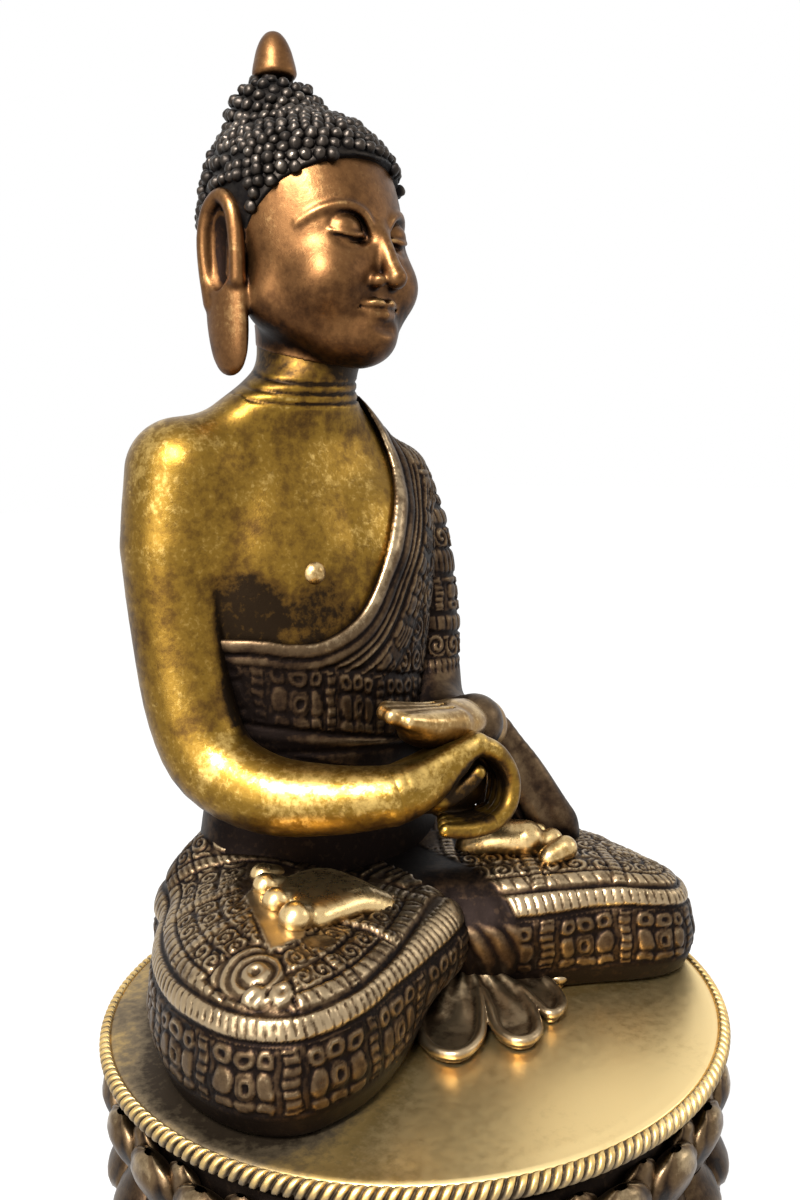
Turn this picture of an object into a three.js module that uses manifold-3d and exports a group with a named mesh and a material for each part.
// Seated Buddha on a round lotus pedestal, cast in pieces that are pinned and dowelled together.
// Millimetres, +Z up. The origin is the centre of the pedestal's underside and the figure faces -Y,
// so the figure's own right hand side is -X.
import * as THREE from "three";
import { mergeVertices } from "three/addons/utils/BufferGeometryUtils.js";
import Module from "manifold-3d";

const wasm = await Module();
wasm.setup();

// Fits
const fit = 0.3; // gap between two pieces that seat on each other
const overrun = 6; // how far a cutter passes the face that it cuts

// Driving sizes of the pedestal
const seatRadius = 66; // outside of the roped rim
const rimWidth = 3.6;
const plateThickness = 2.6;
const plateRadius = seatRadius - rimWidth;
const rimHeight = 3.8;
const rimDrop = 0.2; // rope crest below the plate's top face
const ropeTwists = 60;
const ropeDepth = 0.9;
const neckStep = 1.2; // the ribbed band under the rim draws in by this much
const neckRadius = plateRadius - neckStep;
const neckHeight = 5.8;
const ringWall = 4.2; // band, at its thickest, outside the drum
const drumRadius = neckRadius - ringWall;
const drumWall = 3.2;
const drumRoof = 3; // ledge that carries the seat plate
const petalCount = 26;
const petalStand = 1; // the petals reach this far beyond the roped rim
const petalReach = seatRadius + petalStand;
const petalDepth = 6.2; // from a petal's outermost point to the valley beside it
const petalRoot = petalReach - petalDepth;
const petalEdge = 1.4; // top and bottom edge of a row beyond the valleys, at its fullest
const upperRowHeight = 13.4;
const lowerRowHeight = 12.4;
const footHeight = 4.6; // ring on the table
const footLedge = 2.4; // thickness of the ledge under the drum
const footLip = 3.4; // how far that ledge reaches in under the drum
const footBore = drumRadius - footLip;
const stackHeight = footHeight + lowerRowHeight + upperRowHeight + neckHeight;
const seatHeight = stackHeight + 4 * fit + plateThickness; // table to the top of the seat plate
const sealThickness = 1.2;
const sealRecess = 0.6; // the sealing plate stands this far above the table

// Driving sizes of the figure, above the seat plate
const armpitHeight = 100;
const shoulderHalf = 40; // spine to the outside of the torso at the shoulder
const figureDepth = 40; // seat centre to the line of the spine and a little more
const chestHalf = 34;
const chestDepth = 19; // half of the body, front to back
const torsoWall = 4.4;
const robeThickness = 1.6;
const robeHemX = 16; // where the robe's edge meets the neck, left of the middle
const armRadius = 10;
const kneeInset = 3.4; // knees inside the roped rim
const kneeHalf = seatRadius - kneeInset;
const leftKneeShare = 1.055; // the left knee reaches a little further out than the right
const lapOffset = 0.9; // the knees sit a little to the left of the seat's middle
const lapDepth = 40; // seat centre to the front of the shins, and a little more
const lapHeight = 30; // seat to the top of the knees
const legWall = 5;
const undercutDepth = 2.6; // the robe's lower edge draws in here
const neckWidth = 12.2; // radius
const chinShare = 1.39;
const chinHeight = armpitHeight * chinShare;
const headHeight = 54.6; // chin to the top of the skull, hair included
const headHalf = 21.8;
const headDepth = 25.4;
const headSet = 28; // centre of the head behind the seat's centre
const headTurn = 9; // degrees towards the figure's own left
const moundBack = 10.6; // hair mound behind the middle of the head
const crownRise = 64; // chin to the top of the hair mound, where the jewel starts
const crownHeight = chinHeight + crownRise;
const crownRadius = 11.4;
const jewelHeight = 9;
const jewelRadius = 5.2;
const earWidth = 7.4; // half, front to back
const earThickness = 4.2; // half
const handLength = 30;
const fingerRadius = 2.1;
const footLength = 26;
const footSink = 2.4; // how deep a foot lies in the thigh
const toeRadius = 2.8;
const fanReach = 20; // hem fan, from the shins to its front edge
const fanThickness = 4.4;
const fanLobes = 5;
const bossRadius = 2.2;

// Fasteners
const tangWidth = 11; // a tang under each thigh holds the figure on the seat plate
const tangThickness = 4;
const tangDrop = 9; // below the underside of the seat plate
const tangSpread = 36; // middle line to each tang
const tangSet = -4;
const wedgeRadius = 1.6;
const wedgeLength = 14;
const neckDowelRadius = 5;
const neckDowelLength = 26;
const armDowelRadius = 3.4;
const armDowelLength = 17;
const armDowelSink = 2; // the dowel ends this far inside the shoulder's outer line
const wristDowelRadius = 1.5;
const wristDowelLength = 10;
const waistPinRadius = 1.3;
const waistPinLength = 12;
const headHollow = 10.5; // radius
const headHollowHalfShare = 0.44; // half of its height, of headHeight
const headHollowAtShare = 0.4; // its middle over the chin, of headHeight
const torsoFoot = 15; // lower edge of the torso inside the lap
const hollowHeight = 100; // top of the torso's hollow
const pocketHeight = 16; // roof of the hollow under the legs
const pinHeight = 18.4; // waist pins above the seat
const tangRoot = 2; // how far a tang runs up into its post
const neckSet = 31; // axis of the neck behind the seat's centre
const robeFoot = 26; // the robe tucks into the lap at this height
const hairGrow = 2.4; // hair over the skull

// Shares that several pieces use
const domeShare = 0.8; // length of a limb's rounded end, of its smaller radius
const petalFullShare = 0.9;
const shoulderBackShare = 0.92; // shoulder joint, of figureDepth
const shoulderUpShare = 1.08; // and of armpitHeight
const waistBackShare = 0.81; // axis of the waist, of figureDepth
const wristLeanShare = -0.6; // a wrist dowel leans this much forward as it runs inward
const moundBaseShare = 0.74; // foot of the hair mound, of headHeight
const moundSpreadShare = 1.5; // its radius there, of crownRadius
const weld = 1e-4; // vertices closer than this are one
const boreSides = 40; // round the pedestal's turned pieces

const turn = Math.PI * 2;
const radians = (degrees) => (degrees * Math.PI) / 180;

// Finishes
const finish = (colour, roughness) =>
  new THREE.MeshStandardMaterial({ color: colour, metalness: 1, roughness });
const gilt = finish(0xb8862f, 0.36);
const skin = finish(0xa87c33, 0.38);
const robe = finish(0x6d5230, 0.48);
const dark = finish(0x3b2c1c, 0.52);
const inner = finish(0x8a6a3a, 0.6);

// A closed geometry becomes a solid for joining and cutting.
function solid(geometry) {
  const bare = new THREE.BufferGeometry();
  bare.setAttribute("position", geometry.getAttribute("position"));
  if (geometry.index) bare.setIndex(geometry.index);
  const merged = mergeVertices(bare, weld);
  return new wasm.Manifold(
    new wasm.Mesh({
      numProp: 3,
      vertProperties: merged.attributes.position.array,
      triVerts: new Uint32Array(merged.index.array),
    }),
  );
}

function join(first, ...others) {
  return others.reduce((sum, other) => sum.add(other), first);
}

function cut(body, ...tools) {
  return tools.reduce((left, tool) => left.subtract(tool), body);
}

// The largest body that a cut leaves; shavings fall away.
function largest(body) {
  return body
    .decompose()
    .reduce((best, one) => (one.volume() > best.volume() ? one : best));
}

const group = new THREE.Group();
const figure = new THREE.Group();
figure.position.z = seatHeight;
group.add(figure);

function place(parent, name, body, material) {
  const { vertProperties, triVerts } = body.getMesh();
  const geometry = new THREE.BufferGeometry();
  geometry.setAttribute(
    "position",
    new THREE.BufferAttribute(new Float32Array(vertProperties), 3),
  );
  geometry.setIndex(new THREE.BufferAttribute(new Uint32Array(triVerts), 1));
  geometry.computeVertexNormals();
  const mesh = new THREE.Mesh(geometry, material);
  mesh.name = name;
  parent.add(mesh);
}

// A skin over closed rings of points, all with the same count, with a fan at each end.
function skinOver(rings) {
  const count = rings[0].length;
  const middle = (ring) =>
    ring
      .reduce((sum, point) => sum.add(point), new THREE.Vector3())
      .divideScalar(count);
  const points = [...rings.flat(), middle(rings[0]), middle(rings.at(-1))];
  const startPole = points.length - 2;
  const endPole = points.length - 1;
  const faces = [];
  const last = (rings.length - 1) * count;
  for (let k = 0; k < count; k += 1) {
    const next = (k + 1) % count;
    faces.push(startPole, next, k, endPole, last + k, last + next);
    for (let r = 0; r < rings.length - 1; r += 1) {
      const low = r * count;
      const high = low + count;
      faces.push(low + k, low + next, high + next, low + k, high + next, high + k);
    }
  }
  const geometry = new THREE.BufferGeometry().setFromPoints(points);
  geometry.setIndex(faces);
  return solid(geometry);
}

// A limb: rounded oval sections along a smooth path through hand-placed stations.
// A station is [x, y, z, half width, half height]; "level" is the direction that the width lies across.
function limb(stations, { sides = 14, steps = 10, level = new THREE.Vector3(0, 0, 1) }, grow = 0) {
  const path = new THREE.CatmullRomCurve3(
    stations.map(([x, y, z]) => new THREE.Vector3(x, y, z)),
    false,
    "centripetal",
  );
  const sizes = new THREE.CatmullRomCurve3(
    stations.map((station) => new THREE.Vector3(station[3], station[4], 0)),
    false,
    "centripetal",
  );
  const ring = (t, shrink, slide) => {
    const ahead = path.getTangent(t);
    const side = new THREE.Vector3().crossVectors(level, ahead).normalize();
    const up = new THREE.Vector3().crossVectors(ahead, side);
    const size = sizes.getPoint(t);
    const centre = path
      .getPoint(t)
      .addScaledVector(ahead, slide * (Math.min(size.x, size.y) + grow));
    return Array.from({ length: sides }, (_, k) => {
      const angle = (turn * k) / sides;
      return centre
        .clone()
        .addScaledVector(side, Math.cos(angle) * (size.x + grow) * shrink)
        .addScaledVector(up, Math.sin(angle) * (size.y + grow) * shrink);
    });
  };
  const domeAngles = [20, 50].map(radians);
  const rings = domeAngles.map((angle) =>
    ring(0, Math.sin(angle), -Math.cos(angle) * domeShare),
  );
  for (let k = 0; k <= steps; k += 1) rings.push(ring(k / steps, 1, 0));
  for (const angle of [...domeAngles].reverse())
    rings.push(ring(1, Math.sin(angle), Math.cos(angle) * domeShare));
  return skinOver(rings);
}

// A round bar between two points.
function bar(from, to, radius, sides = 16) {
  const length = from.distanceTo(to);
  const geometry = new THREE.CylinderGeometry(radius, radius, length, sides);
  const ahead = new THREE.Vector3().subVectors(to, from).normalize();
  const spin = new THREE.Quaternion().setFromUnitVectors(new THREE.Vector3(0, 1, 0), ahead);
  geometry.applyQuaternion(spin);
  geometry.translate(...new THREE.Vector3().addVectors(from, to).multiplyScalar(0.5));
  return solid(geometry);
}

function block(wide, deep, high, x, y, z) {
  return solid(new THREE.BoxGeometry(wide, deep, high).translate(x, y, z));
}

// An oval ball.
function ball(centre, halves, sides = 14, grow = 0) {
  const geometry = new THREE.SphereGeometry(1, sides, Math.round(sides / 2));
  geometry.scale(halves.x + grow, halves.y + grow, halves.z + grow);
  geometry.rotateX(Math.PI / 2);
  geometry.translate(centre.x, centre.y, centre.z);
  return solid(geometry);
}

// A turned ring or disc from [radius, height] points, listed anticlockwise with +Z up the page.
function turned(outline, sides) {
  const points = [...outline, outline[0]].map(([r, z]) => new THREE.Vector2(r, z));
  return solid(new THREE.LatheGeometry(points, sides).rotateX(Math.PI / 2));
}

// A ring whose outside radius changes round the circle and up its height.
function shapedRing(bore, heights, radiusAt, sides) {
  const rings = heights.map((z, row) =>
    Array.from({ length: sides }, (_, k) => {
      const angle = (turn * k) / sides;
      const r = radiusAt(k, row);
      return new THREE.Vector3(Math.cos(angle) * r, Math.sin(angle) * r, z);
    }),
  );
  const low = heights[0] - overrun;
  const high = heights.at(-1) + overrun;
  const hole = bar(new THREE.Vector3(0, 0, low), new THREE.Vector3(0, 0, high), bore, boreSides);
  return skinOver(rings).subtract(hole);
}

// Levels of the pedestal, from the table up
const lowerRowBottom = footHeight + fit;
const upperRowBottom = lowerRowBottom + lowerRowHeight + fit;
const neckBottom = upperRowBottom + upperRowHeight + fit;
const plateBottom = seatHeight - plateThickness;
const drumTop = plateBottom - fit;
const drumBottom = footLedge + fit;
const rimTop = seatHeight - rimDrop;

function makePedestal() {
  const cavity = drumRadius - drumWall;
  const drum = turned(
    [
      [cavity, drumBottom],
      [drumRadius, drumBottom],
      [drumRadius, drumTop],
      [cavity - drumRoof, drumTop],
      [cavity - drumRoof, drumTop - drumRoof],
      [cavity, drumTop - drumRoof],
    ],
    boreSides,
  );
  place(group, "pedestal_drum", drum, inner);

  const ringBore = drumRadius + fit;
  const ledgeTop = footLedge;
  const foot = turned(
    [
      [footBore, 0],
      [seatRadius, 0],
      [seatRadius, footHeight / 2],
      [seatRadius - footHeight / 2, footHeight],
      [ringBore, footHeight],
      [ringBore, ledgeTop],
      [footBore, ledgeTop],
    ],
    boreSides,
  );
  place(group, "foot_ring", foot, dark);

  const sealBottom = sealRecess;
  const seal = turned(
    [
      [0, sealBottom],
      [footBore - fit, sealBottom],
      [footBore - fit, sealBottom + sealThickness],
      [0, sealBottom + sealThickness],
    ],
    boreSides,
  );
  place(group, "sealing_plate", seal, inner);

  // Petals: a full row of rounded tongues, widest at mid height, with a valley between neighbours.
  const bulgeShares = [0.1, 0.7, 1, 0.76, 0.2];
  const heightShares = [0, 0.18, 0.52, 0.86, 1];
  const acrossShares = [0, 1, 1];
  const petalRow = (bottom, height, pointsUp) => {
    const heights = heightShares.map((share) => bottom + share * height);
    const bulges = pointsUp ? bulgeShares : [...bulgeShares].reverse();
    const radiusAt = (k, row) => {
      const across = acrossShares[k % acrossShares.length];
      const swell = (petalReach - petalRoot) * bulges[row] * across;
      return petalRoot + petalEdge * bulges[row] + swell * petalFullShare;
    };
    return shapedRing(ringBore, heights, radiusAt, petalCount * acrossShares.length);
  };
  const upper = petalRow(upperRowBottom, upperRowHeight, true);
  const lower = petalRow(lowerRowBottom, lowerRowHeight, false);
  place(group, "upper_petal_ring", upper, robe);
  place(group, "lower_petal_ring", lower, robe);

  const neck = turned(
    [
      [ringBore, neckBottom],
      [neckRadius, neckBottom],
      [neckRadius, plateBottom - fit],
      [ringBore, plateBottom - fit],
    ],
    boreSides,
  );
  place(group, "neck_ring", neck, dark);

  // The roped rim: a notch leans into the edge at every twist.
  const rimBottom = rimTop - rimHeight;
  const rimShares = [0, 0.5, 1];
  const rimInset = [0.5, 0, 0.45];
  const rimHeights = rimShares.map((share) => rimBottom + share * rimHeight);
  const rimRadiusAt = (k, row) =>
    seatRadius - ropeDepth * (rimInset[row] + ((k + row) % 2));
  const rim = shapedRing(plateRadius + fit, rimHeights, rimRadiusAt, ropeTwists * 2);
  const overNeck = bar(
    new THREE.Vector3(0, 0, rimBottom - overrun),
    new THREE.Vector3(0, 0, plateBottom),
    neckRadius + fit,
    boreSides,
  );
  place(group, "rope_rim", cut(rim, overNeck), gilt);

  const plate = turned(
    [
      [0, plateBottom],
      [plateRadius, plateBottom],
      [plateRadius, seatHeight],
      [0, seatHeight],
    ],
    boreSides,
  );
  const slots = [-1, 1].map((side) =>
    block(
      tangWidth + 2 * fit,
      tangThickness + 2 * fit,
      plateThickness + 2 * overrun,
      side * tangSpread,
      tangSet,
      seatHeight - plateThickness / 2,
    ),
  );
  place(group, "seat_plate", cut(plate, ...slots), gilt);
}

// Stations are shares of the figure's own sizes: across, back, up, and two radii.
const along = (shares, sizes) =>
  shares.map((row) => row.map((share, k) => share * sizes[k]));
const scaled = (shares, sizes) => new THREE.Vector3(...shares.map((share, k) => share * sizes[k]));
const mirror = (stations) => stations.map(([x, ...rest]) => [-x, ...rest]);

// Torso: [across, back, up, half width, half depth]
const torsoShares = [
  [0, 0.8, 0.14, 1.0, 1.08],
  [0, 0.81, 0.3, 0.9, 1.0],
  [0, 0.82, 0.48, 0.79, 0.93],
  [0, 0.82, 0.62, 0.79, 0.92],
  [0, 0.84, 0.78, 0.89, 0.97],
  [0, 0.87, 0.93, 1.0, 1.0],
  [0, 0.9, 1.06, 1.03, 0.9],
  [0, 0.92, 1.15, 0.96, 0.78],
  [0, 0.9, 1.23, 0.82, 0.66],
  [0, 0.84, 1.3, 0.5, 0.62],
  [0, 0.78, 1.36, 0.355, 0.62],
];
const torsoSizes = [shoulderHalf, figureDepth, armpitHeight, chestHalf, chestDepth];
const facing = new THREE.Vector3(0, -1, 0);
const backward = new THREE.Vector3(0, 1, 0);
const upward = new THREE.Vector3(0, 0, 1);
const torsoForm = (grow) =>
  limb(along(torsoShares, torsoSizes), { sides: 18, steps: 11, level: facing }, grow);

// Head and neck, with the neck running down into the torso's collar
const skullShares = [
  [0, -0.12, 0.03, 0.42, 0.36],
  [0, -0.1, 0.14, 0.68, 0.66],
  [0, -0.04, 0.34, 0.9, 0.88],
  [0, 0, 0.54, 0.98, 0.97],
  [0, 0.04, 0.68, 0.9, 0.92],
  [0, 0.1, 0.79, 0.64, 0.66],
];
const headPlace = new THREE.Matrix4()
  .makeTranslation(0, headSet, chinHeight)
  .multiply(new THREE.Matrix4().makeRotationZ(radians(headTurn)));
const skullSizes = [headHalf, headDepth, headHeight, headHalf, headDepth];
const neckTop = new THREE.Vector3(0, neckSet - 2 * fit, chinHeight + headHeight / 4);
const neckFoot = new THREE.Vector3(0, neckSet, armpitHeight + 2 * neckWidth);
const headForm = (grow) =>
  limb(along(skullShares, skullSizes), { sides: 18, steps: 7, level: facing }, grow).transform(
    headPlace.elements,
  );
const neckForm = (grow) => bar(neckFoot, neckTop, neckWidth + grow, 18);

// Crossed legs: the outline on the seat, anticlockwise from the notch between the shins,
// as shares of the knee span and of the lap's depth, for one side
const lapShares = [
  [0.03, -0.28],
  [0.17, -0.46],
  [0.38, -0.66],
  [0.6, -0.78],
  [0.82, -0.74],
  [0.96, -0.5],
  [1, -0.12],
  [0.95, 0.26],
  [0.84, 0.6],
  [0.66, 0.94],
  [0.42, 1.22],
];
const lapBack = [0, 1.33];
const lapPoints = 40;
const leftward = (x) => (x > 0 ? x * leftKneeShare : x) + lapOffset;
function lapOutline(inset) {
  const side = lapShares.map(([x, y]) => [x * kneeHalf, y * lapDepth]);
  const other = side.map(([x, y]) => [-x, y]).reverse();
  const back = [lapBack[0], lapBack[1] * lapDepth];
  const all = [...side, back, ...other];
  const curve = new THREE.CatmullRomCurve3(
    all.map(([x, y]) => new THREE.Vector3(leftward(x), y, 0)),
    true,
    "centripetal",
  );
  return Array.from({ length: lapPoints }, (_, k) => {
    const t = k / lapPoints;
    const ahead = curve.getTangent(t);
    const inward = new THREE.Vector3(-ahead.y, ahead.x, 0);
    return curve.getPoint(t).addScaledVector(inward, inset);
  });
}
function lapSlab(levels, grow = 0) {
  const rings = levels.map(([z, inset]) =>
    lapOutline(inset - grow).map((point) => point.setZ(z)),
  );
  return skinOver(rings);
}

// Thigh from the hip out to the knee, and shin from the knee back to the middle
const thighShares = [
  [0.2, 0.8, 0.62, 1.7, 1.45],
  [0.46, 0.46, 0.58, 1.85, 1.4],
  [0.65, -0.02, 0.54, 1.85, 1.25],
  [0.66, -0.24, 0.5, 1.6, 1.15],
];
const shinShares = [
  [0.7, -0.3, 0.5, 1.15, 1.1],
  [0.45, -0.34, 0.5, 1.1, 1.15],
  [0.2, -0.2, 0.5, 0.95, 1.1],
  [0.02, 0.05, 0.52, 0.9, 1.0],
];
const legSizes = [kneeHalf, lapDepth, lapHeight, armRadius, armRadius];
const bandShare = 0.74; // top of the upright side band, of lapHeight
const hipAtShares = [0, 0.84, 0.5]; // shares of kneeHalf, figureDepth and lapHeight
const hipHalfShares = [0.6, 0.5, 0.64]; // shares of kneeHalf, lapDepth and lapHeight
const legForm = (grow) => {
  const shifted = ([x, ...rest]) => [leftward(x), ...rest];
  const thigh = along(thighShares, legSizes);
  const shin = along(shinShares, legSizes);
  const roll = (stations, sides) => limb(stations.map(shifted), { sides, steps: 5 }, grow);
  const rolls = [thigh, mirror(thigh)].map((stations) => roll(stations, 14));
  const shins = [shin, mirror(shin)].map((stations) => roll(stations, 10));
  const bandTop = lapHeight * bandShare;
  const slab = lapSlab(
    [
      [fit, undercutDepth],
      [undercutDepth, undercutDepth / 3],
      [bandTop / 2, 0],
      [bandTop, undercutDepth / 2],
      [bandTop + undercutDepth, 2 * undercutDepth],
    ],
    grow,
  );
  const hips = ball(
    scaled(hipAtShares, [kneeHalf, figureDepth, lapHeight]),
    scaled(hipHalfShares, [kneeHalf, lapDepth, lapHeight]),
    18,
    grow,
  );
  return join(slab, ...rolls, ...shins, hips).intersect(aboveHeight(fit));
};

// Arms: shoulder, elbow, wrist
const rightArmShares = [
  [-0.7, 0.92, 1.15, 1.15, 1.22],
  [-0.82, 0.91, 1.0, 1.1, 1.18],
  [-0.86, 0.87, 0.8, 1.0, 1.06],
  [-0.86, 0.78, 0.63, 0.94, 0.98],
  [-0.81, 0.62, 0.52, 0.9, 0.92],
  [-0.68, 0.36, 0.475, 0.84, 0.84],
  [-0.46, 0.08, 0.475, 0.7, 0.74],
  [-0.24, -0.14, 0.48, 0.56, 0.68],
];
const leftArmShares = [
  [0.68, 0.92, 1.14, 1.12, 1.2],
  [0.79, 0.9, 1.0, 1.1, 1.16],
  [0.83, 0.86, 0.8, 1.04, 1.1],
  [0.85, 0.74, 0.64, 1.0, 1.04],
  [0.84, 0.52, 0.55, 0.96, 0.98],
  [0.74, 0.26, 0.54, 0.9, 0.9],
  [0.54, 0.04, 0.57, 0.76, 0.76],
];
const armSizes = [shoulderHalf, figureDepth, armpitHeight, armRadius, armRadius];
const armForm = (shares, grow) =>
  limb(along(shares, armSizes), { sides: 10, steps: 9, level: backward }, grow);

// Hands: a palm and five fingers, each finger a list of stations in shares of the hand's length
const handSizes = [handLength, handLength, handLength, fingerRadius, fingerRadius];
const handPart = (shares, centre, level, grow) =>
  limb(
    along(shares, handSizes).map(([x, y, z, a, b]) => [
      x + centre.x,
      y + centre.y,
      z + centre.z,
      a,
      b,
    ]),
    { sides: 8, steps: 2 * shares.length, level },
    grow,
  );
const wristOf = (shares) => scaled(shares.at(-1).slice(0, 3), armSizes);
const rightWrist = wristOf(rightArmShares);
const leftWrist = wristOf(leftArmShares);
// Back of the hand, then the fingers curling round to make a ring, then the thumb inside it
const rightHandShares = [
  [
    [0, 0, 0, 2.5, 2.9],
    [0.27, -0.12, 0.12, 2.6, 3.2],
    [0.6, -0.2, 0.33, 2.2, 1.6],
  ],
  [
    [0.6, -0.2, 0.33, 0.9, 2.1],
    [0.86, -0.25, 0.18, 0.85, 2.1],
    [0.96, -0.28, -0.08, 0.8, 2.0],
    [0.82, -0.29, -0.27, 0.8, 1.9],
    [0.5, -0.28, -0.32, 0.8, 1.7],
    [0.22, -0.28, -0.22, 0.75, 1.3],
  ],
  [
    [0.3, -0.24, 0.02, 1.2, 1.2],
    [0.5, -0.28, 0.04, 1, 1],
    [0.7, -0.26, 0.1, 0.9, 0.9],
  ],
];
// Palm up, from the wrist to the fingertips
const leftHandShares = [
  [
    [0, 0, 0, 2.4, 2.6],
    [-0.25, -0.06, 0.04, 3.4, 2.0],
    [-0.5, -0.1, 0.1, 3.8, 1.9],
    [-0.76, -0.17, 0.19, 3.4, 1.4],
    [-0.97, -0.22, 0.27, 2.2, 1.0],
  ],
];
const handForm = (shares, wrist, level, grow) =>
  join(...shares.map((part) => handPart(part, wrist, level, grow)));
const rightHandForm = (grow) => handForm(rightHandShares, rightWrist, backward, grow);
const leftHandForm = (grow) => handForm(leftHandShares, leftWrist, upward, grow);

// The end of the left sleeve, hanging from the wrist to the knee
const fallShares = [
  [0.78, 0.16, 0.5, 0.8, 0.5],
  [0.88, 0.1, 0.42, 0.9, 0.5],
  [1.0, 0.02, 0.35, 0.95, 0.45],
  [1.12, -0.06, 0.3, 0.8, 0.4],
];
const fallForm = (grow) =>
  limb(along(fallShares, armSizes), { sides: 8, steps: 4, level: backward }, grow);

// Feet lie sole up on the opposite thighs: heel to ball of the foot, then the toes
const footShares = [
  [-0.2, 0.42, 1.02, 0.7, 0.4],
  [0.12, 0.16, 1.12, 1.0, 0.5],
  [0.42, -0.04, 1.12, 1.1, 0.46],
];
const footSizes = [footLength, footLength, lapHeight, armRadius, armRadius];
const footAtShares = [0.3, 0.02, 0]; // heel, of kneeHalf and lapDepth
const footAt = scaled(footAtShares, [kneeHalf, lapDepth, 0]).setZ(-footSink);
const toeCount = 5;
const toeLeadShare = 2.2; // toes beyond the sole's end, in toe radii
const toeFanShare = 0.5; // how much further each toe to the front reaches
const toePitchShare = 1.7;
const toeGrowthShare = 0.08; // each toe against the next one
const toeLengthShare = 1.3;
function footForm(side, grow) {
  const sole = along(footShares, footSizes).map(([x, y, z, a, b]) => [
    side * (x + footAt.x),
    y + footAt.y,
    z + footAt.z,
    a,
    b,
  ]);
  const front = sole.at(-1);
  const toes = Array.from({ length: toeCount }, (_, k) => {
    const spread = (2 * k) / (toeCount - 1) - 1;
    const centre = new THREE.Vector3(
      front[0] + side * toeRadius * (toeLeadShare + toeFanShare * spread),
      front[1] + spread * toeRadius * toePitchShare - toeRadius,
      front[2],
    );
    const size = toeRadius * (1 + toeGrowthShare * (k - 2));
    return ball(centre, new THREE.Vector3(size * toeLengthShare, size, size), 8, grow);
  });
  return join(limb(sole, { sides: 8, steps: 4 }, grow), ...toes);
}

// The hem spreads on the seat between the shins in rounded folds.
const fanRootShare = 0.2; // of lapDepth, in front of the seat's centre
const fanSpread = 104; // degrees
const fanCleftShare = 0.76; // the clefts between the lobes, of fanReach
const fanBackShare = 0.3; // point behind the root, of fanReach
const fanTopShare = 0.86;
const lobePoints = 8;
const lobeBluntShare = 0.6; // below 1 rounds the lobes out
function fanForm(grow) {
  const root = new THREE.Vector3(0, -lapDepth * fanRootShare, 0);
  const points = lobePoints * fanLobes;
  const rim = (k, share) => {
    const t = k / points;
    const angle = -Math.PI / 2 + radians(fanSpread) * (t - 1 / 2);
    const lobe = Math.abs(Math.sin(Math.PI * fanLobes * t)) ** lobeBluntShare;
    const reach = (fanReach * (fanCleftShare + (1 - fanCleftShare) * lobe) + grow) * share;
    return new THREE.Vector2(root.x + Math.cos(angle) * reach, root.y + Math.sin(angle) * reach);
  };
  const ring = (share, z) => {
    const front = Array.from({ length: points + 1 }, (_, k) => rim(k, share));
    const back = new THREE.Vector2(root.x, root.y + fanReach * fanBackShare * share);
    return [...front, back].map((point) => new THREE.Vector3(point.x, point.y, z));
  };
  return skinOver([
    ring(1, -grow),
    ring(1, fanThickness / 2),
    ring(fanTopShare, fanThickness + grow),
  ]);
}

// The robe's region on the torso, seen from the front: everything below its edge
const hemShares = [
  [-3, 0.74],
  [-1.5, 0.73],
  [-0.8, 0.74],
  [-0.2, 0.78],
  [0.4, 0.86],
  [0.8, 0.97],
  [1, 1.1],
  [1.05, 1.26],
  [1.1, 1.6],
];
function robeRegion() {
  const outline = new THREE.Shape();
  const low = -armpitHeight;
  const right = 4 * shoulderHalf;
  const edge = hemShares.map(([x, z]) => new THREE.Vector2(x * robeHemX, z * armpitHeight));
  outline.moveTo(edge[0].x, low);
  outline.lineTo(right, low);
  outline.lineTo(right, edge.at(-1).y);
  for (const point of [...edge].reverse()) outline.lineTo(point.x, point.y);
  outline.closePath();
  const depth = 4 * figureDepth;
  const geometry = new THREE.ExtrudeGeometry(outline, { depth, bevelEnabled: false });
  geometry.rotateX(Math.PI / 2);
  geometry.translate(0, depth - figureDepth, 0);
  return solid(geometry);
}
const robeShell = (grow) => {
  const outer = torsoForm(robeThickness + fit + grow);
  return outer.intersect(robeRegion()).intersect(aboveHeight(robeFoot - grow));
};

// Hair: a close cap with a round mound on top, ending at a line over the brow and behind the ears
const hairShares = [
  [1.3, 0.83],
  [0.66, 0.8],
  [0.34, 0.62],
  [0.02, 0.56],
  [-0.25, 0.4],
  [-0.5, 0.24],
  [-1.3, 0.2],
];
function hairRegion() {
  const outline = new THREE.Shape();
  const top = 2 * headHeight;
  const edge = hairShares.map(([y, z]) => new THREE.Vector2(y * headDepth, z * headHeight));
  outline.moveTo(edge[0].x, edge[0].y);
  for (const point of edge.slice(1)) outline.lineTo(point.x, point.y);
  outline.lineTo(edge.at(-1).x, top);
  outline.lineTo(edge[0].x, top);
  outline.closePath();
  const depth = 4 * headHalf;
  const geometry = new THREE.ExtrudeGeometry(outline, { depth, bevelEnabled: false });
  geometry.rotateX(Math.PI / 2);
  geometry.rotateZ(-Math.PI / 2);
  geometry.translate(depth / 2, 0, 0);
  return solid(geometry).transform(headPlace.elements);
}
const moundAt = new THREE.Vector3(0, moundBack, 0).applyMatrix4(headPlace);
function hairForm() {
  const moundBase = chinHeight + headHeight * moundBaseShare;
  const baseRadius = crownRadius * moundSpreadShare;
  const mound = limb(
    [
      [moundAt.x, moundAt.y, moundBase, baseRadius, baseRadius],
      [moundAt.x, moundAt.y, crownHeight - crownRadius * domeShare, crownRadius, crownRadius],
    ],
    { sides: 16, steps: 2, level: facing },
  );
  return join(headForm(hairGrow).intersect(hairRegion()), mound);
}

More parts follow.
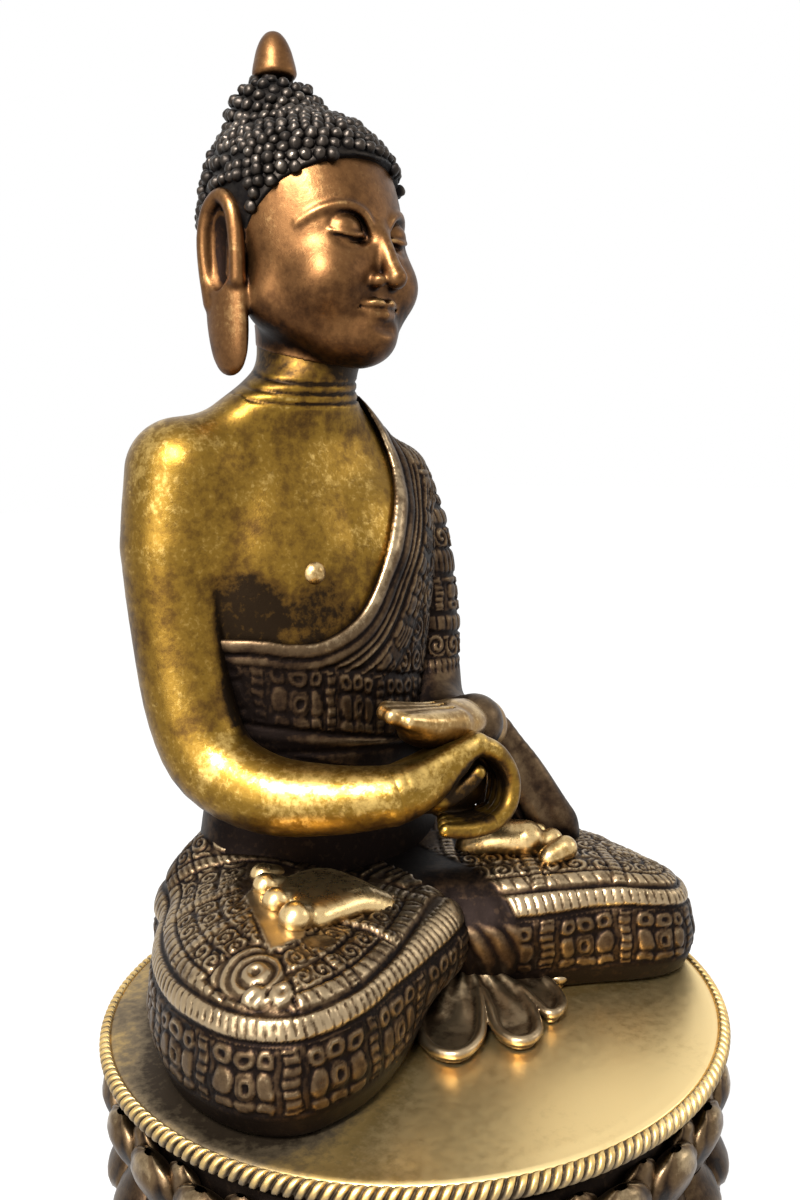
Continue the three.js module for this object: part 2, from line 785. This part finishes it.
// Long ears, hanging beside the jaw
function earForm(side, grow = 0) {
  const shares = [
    [0.96, 0.18, 0.56, 0.85, 0.7],
    [0.99, 0.16, 0.44, 1, 0.9],
    [0.97, 0.12, 0.18, 0.8, 0.8],
    [0.9, 0.1, 0.02, 0.75, 0.75],
  ];
  const sizes = [headHalf, headDepth, headHeight, earWidth, earThickness];
  const stations = along(shares, sizes).map(([x, y, z, a, b]) => [side * x, y, z, a, b]);
  return limb(stations, { sides: 10, steps: 5, level: new THREE.Vector3(1, 0, 0) }, grow).transform(
    headPlace.elements,
  );
}

const everywhere = 4 * seatRadius; // side of a block that trims the whole figure
const aboveHeight = (z) =>
  block(everywhere, everywhere, everywhere, 0, 0, z + everywhere / 2);
const belowHeight = (z) =>
  block(everywhere, everywhere, everywhere, 0, 0, z - everywhere / 2);

// The jewel's outline, in shares of its radius and height
const jewelShares = [
  [0, 0],
  [1, 0],
  [0.98, 0.25],
  [0.78, 0.62],
  [0.45, 0.88],
  [0, 1],
];
// The boss on the breast: across, back and up, then forward from the chest's axis to its skin
const bossShares = [-0.27, 0.87, 0.935];
const bossForwardShare = 0.937;

function makeFigure() {
  // Dowels and pins first: every socket follows them.
  const neckDowelFoot = new THREE.Vector3(0, neckSet, armpitHeight + neckWidth);
  const neckDowelTop = neckDowelFoot.clone().setZ(neckDowelFoot.z + neckDowelLength);
  const neckDowel = (grow) =>
    bar(neckDowelFoot, neckDowelTop.clone().setZ(neckDowelTop.z + grow), neckDowelRadius + grow);
  const shoulderAt = new THREE.Vector3(
    shoulderHalf,
    shoulderBackShare * figureDepth,
    shoulderUpShare * armpitHeight,
  );
  const armDowel = (side, grow) =>
    bar(
      shoulderAt.clone().setX(side * (shoulderHalf - armDowelLength - grow)),
      shoulderAt.clone().setX(side * (shoulderHalf - armDowelSink + grow)),
      armDowelRadius + grow,
      12,
    );
  const wristDowel = (wrist, side, grow) => {
    const lead = new THREE.Vector3(side, wristLeanShare, 0).normalize();
    const half = wristDowelLength / 2 + grow;
    return bar(
      wrist.clone().addScaledVector(lead, -half),
      wrist.clone().addScaledVector(lead, half),
      wristDowelRadius + grow,
      10,
    );
  };
  const waistPin = (side, grow) => {
    const inside = chestHalf - torsoWall - fit;
    const axis = new THREE.Vector3(0, waistBackShare * figureDepth, pinHeight);
    return bar(
      axis.clone().setX(side * (inside - grow)),
      axis.clone().setX(side * (inside + waistPinLength + grow)),
      waistPinRadius + grow,
      10,
    );
  };
  const tang = (side) =>
    block(
      tangWidth,
      tangThickness,
      plateThickness + tangDrop + tangRoot,
      side * tangSpread,
      tangSet,
      (tangRoot - plateThickness - tangDrop) / 2,
    );
  const wedge = (side, grow) => {
    const z = -plateThickness - fit - wedgeRadius - grow / 2;
    const half = wedgeLength / 2;
    return bar(
      new THREE.Vector3(side * tangSpread, tangSet - half - grow, z),
      new THREE.Vector3(side * tangSpread, tangSet + half + grow, z),
      wedgeRadius + grow,
      12,
    );
  };

  // Torso: hollow, open below, with sockets for the neck and shoulders
  const hollow = cut(torsoForm(-torsoWall), aboveHeight(hollowHeight));
  const collar = bar(
    neckFoot.clone().setZ(neckFoot.z - fit),
    neckTop.clone().setZ(neckTop.z + overrun),
    neckWidth + fit,
    18,
  );
  const headRoom = [headForm(fit), earForm(-1, fit), earForm(1, fit)];
  const torso = largest(
    cut(
      torsoForm(0),
      belowHeight(torsoFoot),
      hollow,
      collar,
      ...headRoom,
      neckDowel(fit),
      ...[-1, 1].flatMap((side) => [armDowel(side, fit), waistPin(side, fit)]),
    ),
  );
  place(figure, "torso", torso, skin);
  for (const [side, name] of [
    [-1, "right"],
    [1, "left"],
  ]) {
    place(figure, `${name}_waist_pin`, waistPin(side, 0), inner);
    place(figure, `${name}_shoulder_dowel`, armDowel(side, 0), inner);
    place(figure, `${name}_wedge_pin`, wedge(side, 0), inner);
  }
  place(figure, "neck_dowel", neckDowel(0), inner);

  // Legs: hollow, open below, with a tang under each thigh
  const pocket = lapSlab([
    [-overrun, legWall + undercutDepth],
    [pocketHeight / 2, legWall + undercutDepth],
    [pocketHeight, 2 * legWall + undercutDepth],
  ]);
  const torsoSeat = cut(torsoForm(fit), belowHeight(torsoFoot - fit));
  const legShell = cut(legForm(0), pocket, torsoSeat, waistPin(-1, fit), waistPin(1, fit));
  const tangs = [-1, 1].map((side) => {
    const post = block(
      tangWidth + legWall,
      tangThickness + legWall,
      pocketHeight - fit,
      side * tangSpread,
      tangSet,
      (pocketHeight + fit) / 2,
    );
    return join(post, tang(side));
  });
  const footPockets = [-1, 1].map((side) => footForm(side, fit));
  const legs = largest(
    cut(join(legShell, ...tangs), wedge(-1, fit), wedge(1, fit), ...footPockets, fallForm(fit)),
  );
  place(figure, "legs", legs, robe);
  const armRoom = [
    armForm(rightArmShares, fit),
    armForm(leftArmShares, fit),
    rightHandForm(fit),
    leftHandForm(fit),
  ];
  for (const [side, name] of [
    [-1, "left"],
    [1, "right"],
  ]) {
    const foot = cut(footForm(side, 0), robeShell(fit), torsoForm(fit), ...armRoom);
    place(figure, `${name}_foot`, largest(foot), gilt);
  }

  const fan = largest(cut(fanForm(0), legForm(fit)).intersect(aboveHeight(fit)));
  place(figure, "hem_fan", fan, dark);

  // Arms and hands
  const rightArm = largest(
    cut(
      armForm(rightArmShares, 0),
      torsoForm(fit),
      robeShell(fit),
      rightHandForm(fit),
      armDowel(-1, fit),
      wristDowel(rightWrist, 1, fit),
    ),
  );
  place(figure, "right_arm", rightArm, skin);
  place(figure, "right_hand", cut(rightHandForm(0), wristDowel(rightWrist, 1, fit)), skin);
  place(figure, "right_wrist_dowel", wristDowel(rightWrist, 1, 0), inner);
  const leftArm = largest(
    cut(
      armForm(leftArmShares, 0),
      torsoForm(fit),
      robeShell(fit),
      leftHandForm(fit),
      fallForm(fit),
      armDowel(1, fit),
      wristDowel(leftWrist, -1, fit),
    ),
  );
  place(figure, "left_sleeve", leftArm, robe);
  const leftHand = largest(
    cut(leftHandForm(0), rightHandForm(fit), fallForm(fit), wristDowel(leftWrist, -1, fit)),
  );
  place(figure, "left_hand", leftHand, skin);
  place(figure, "left_wrist_dowel", wristDowel(leftWrist, -1, 0), inner);
  place(figure, "sleeve_fall", largest(cut(fallForm(0), footForm(1, fit))), robe);

  const drape = largest(
    cut(
      robeShell(0),
      torsoForm(fit),
      legForm(fit),
      collar,
      ...headRoom,
      armDowel(1, fit),
      waistPin(1, fit),
      waistPin(-1, fit),
    ),
  );
  place(figure, "robe_drape", drape, robe);

  // Head, hair and jewel; the head's hollow opens into the socket of the neck's dowel.
  const skullHollow = ball(
    new THREE.Vector3(0, neckSet, chinHeight + headHeight * headHollowAtShare),
    new THREE.Vector3(headHollow, headHollow, headHeight * headHollowHalfShare),
    16,
  );
  const hair = hairForm();
  const jewelFoot = moundAt.clone().setZ(crownHeight);
  const spigot = (grow) =>
    bar(
      jewelFoot.clone().setZ(crownHeight - jewelHeight / 2 - grow),
      jewelFoot.clone().setZ(crownHeight + jewelHeight / 4),
      jewelRadius / 2 + grow,
      12,
    );
  const ears = [earForm(-1), earForm(1)];
  const head = largest(
    cut(
      join(cut(join(headForm(0), neckForm(0)), skullHollow), ...ears),
      neckDowel(fit),
    ),
  );
  place(figure, "head", head, skin);
  const cap = largest(cut(hair, headForm(fit), earForm(-1, fit), earForm(1, fit), spigot(fit)));
  place(figure, "hair_cap", cap, dark);
  const jewelOutline = jewelShares.map(([r, z]) => [
    r * jewelRadius,
    crownHeight + fit + z * jewelHeight,
  ]);
  const jewel = turned(jewelOutline, 16).translate(moundAt.x, moundAt.y, 0);
  place(figure, "crown_jewel", join(jewel, spigot(0)), gilt);

  // Boss on the right breast, let into the chest
  const bossAt = scaled(bossShares, armSizes);
  bossAt.y -= bossForwardShare * chestDepth;
  const bossBall = ball(bossAt, new THREE.Vector3(bossRadius, bossRadius, bossRadius), 10);
  place(figure, "chest_boss", cut(bossBall, torsoForm(fit)), gilt);
}

makePedestal();
makeFigure();

export default group;
